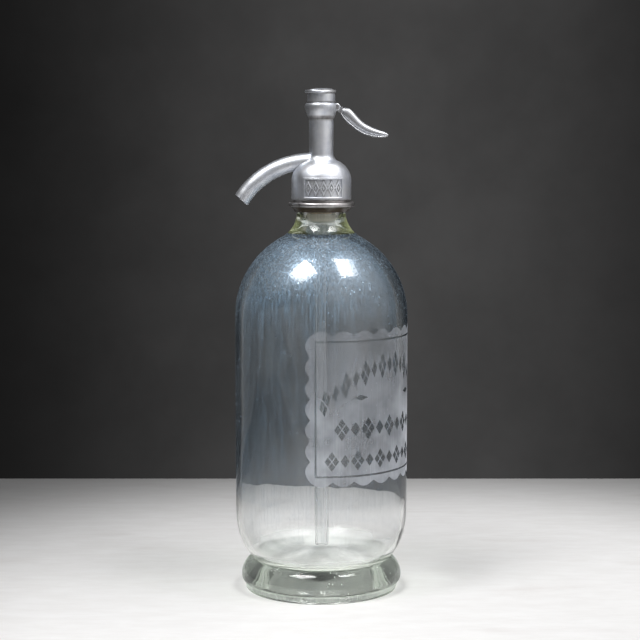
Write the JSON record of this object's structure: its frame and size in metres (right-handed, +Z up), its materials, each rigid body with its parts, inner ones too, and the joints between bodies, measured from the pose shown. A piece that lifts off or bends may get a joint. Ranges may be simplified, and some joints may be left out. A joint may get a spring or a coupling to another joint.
{
  "type": "soda siphon",
  "caption": "Thumb-lever soda siphon: heavy glass bottle with a pinched foot, pewter head with curved spout, and a sprung valve the lever lifts.",
  "frame": {"origin": "centre of the foot's rest ring, on the bottle's axis, at the level the siphon stands on", "axes": "+Z up along the bottle's axis; +X towards the lever's thumb end, -X towards the spout; -Y is the front, with the raised panel on the bell"},
  "size_m": [0.105, 0.105, 0.3055],
  "materials": {
    "bottle_glass": "clear pressed soda glass, faint green, bluish haze, scratches and seeds",
    "tube_glass": "clear drawn glass tube with a light bloom of lime",
    "gum_rubber": "aged tan gum rubber, matte",
    "black_rubber": "moulded black rubber, matte",
    "pewter": "cast tin-lead pewter, dull satin, grey-blue with brown tarnish in the corners",
    "pewter_bright": "pewter rubbed bright by the thumb",
    "valve_brass": "turned brass, lightly tarnished",
    "leather_washer": "greased leather washer",
    "packing_cord": "waxed cotton packing",
    "spring_wire": "drawn spring steel wire",
    "pin_steel": "steel rivet with peened heads"
  },
  "bodies": {
    "siphon": {"glass_bottle": "bottle_glass", "dip_tube": "tube_glass", "tube_bush": "gum_rubber", "neck_collar_left": "pewter", "neck_collar_right": "pewter", "neck_gasket": "black_rubber", "seat_plate": "valve_brass", "chamber_washer": "leather_washer", "head_casting": "pewter", "spout_tube": "pewter", "gland_packing": "packing_cord", "gland_nut": "valve_brass", "guide_bush": "valve_brass", "return_spring": "spring_wire", "lever_pin": "pin_steel", "top_cap": "pewter", "cap_washer": "leather_washer"},
    "thumb_lever": {"lever": "pewter_bright"},
    "valve": {"valve_stem": "valve_brass", "spring_seat": "valve_brass", "valve_disc": "black_rubber", "valve_holder": "valve_brass", "disc_screw": "valve_brass", "stem_yoke": "valve_brass"}
  },
  "joints": [
    {"name": "lever_pivot", "type": "hinge", "parent": "siphon", "child": "thumb_lever", "pos_m": [0.0092, 0, 0.2943], "axis": [0, 1, 0], "range_deg": [0, 14], "stiffness_Nm_per_rad": 0.25, "springref_deg": -20.05},
    {"name": "stem_lift", "type": "slide", "parent": "siphon", "child": "valve", "axis": [0, 0, 1], "range_m": [0, 0.0023], "deforming": ["return_spring"]}
  ],
  "couplings": [
    {"joint": "stem_lift", "follows": "lever_pivot", "m_per_rad": 0.009328}
  ]
}
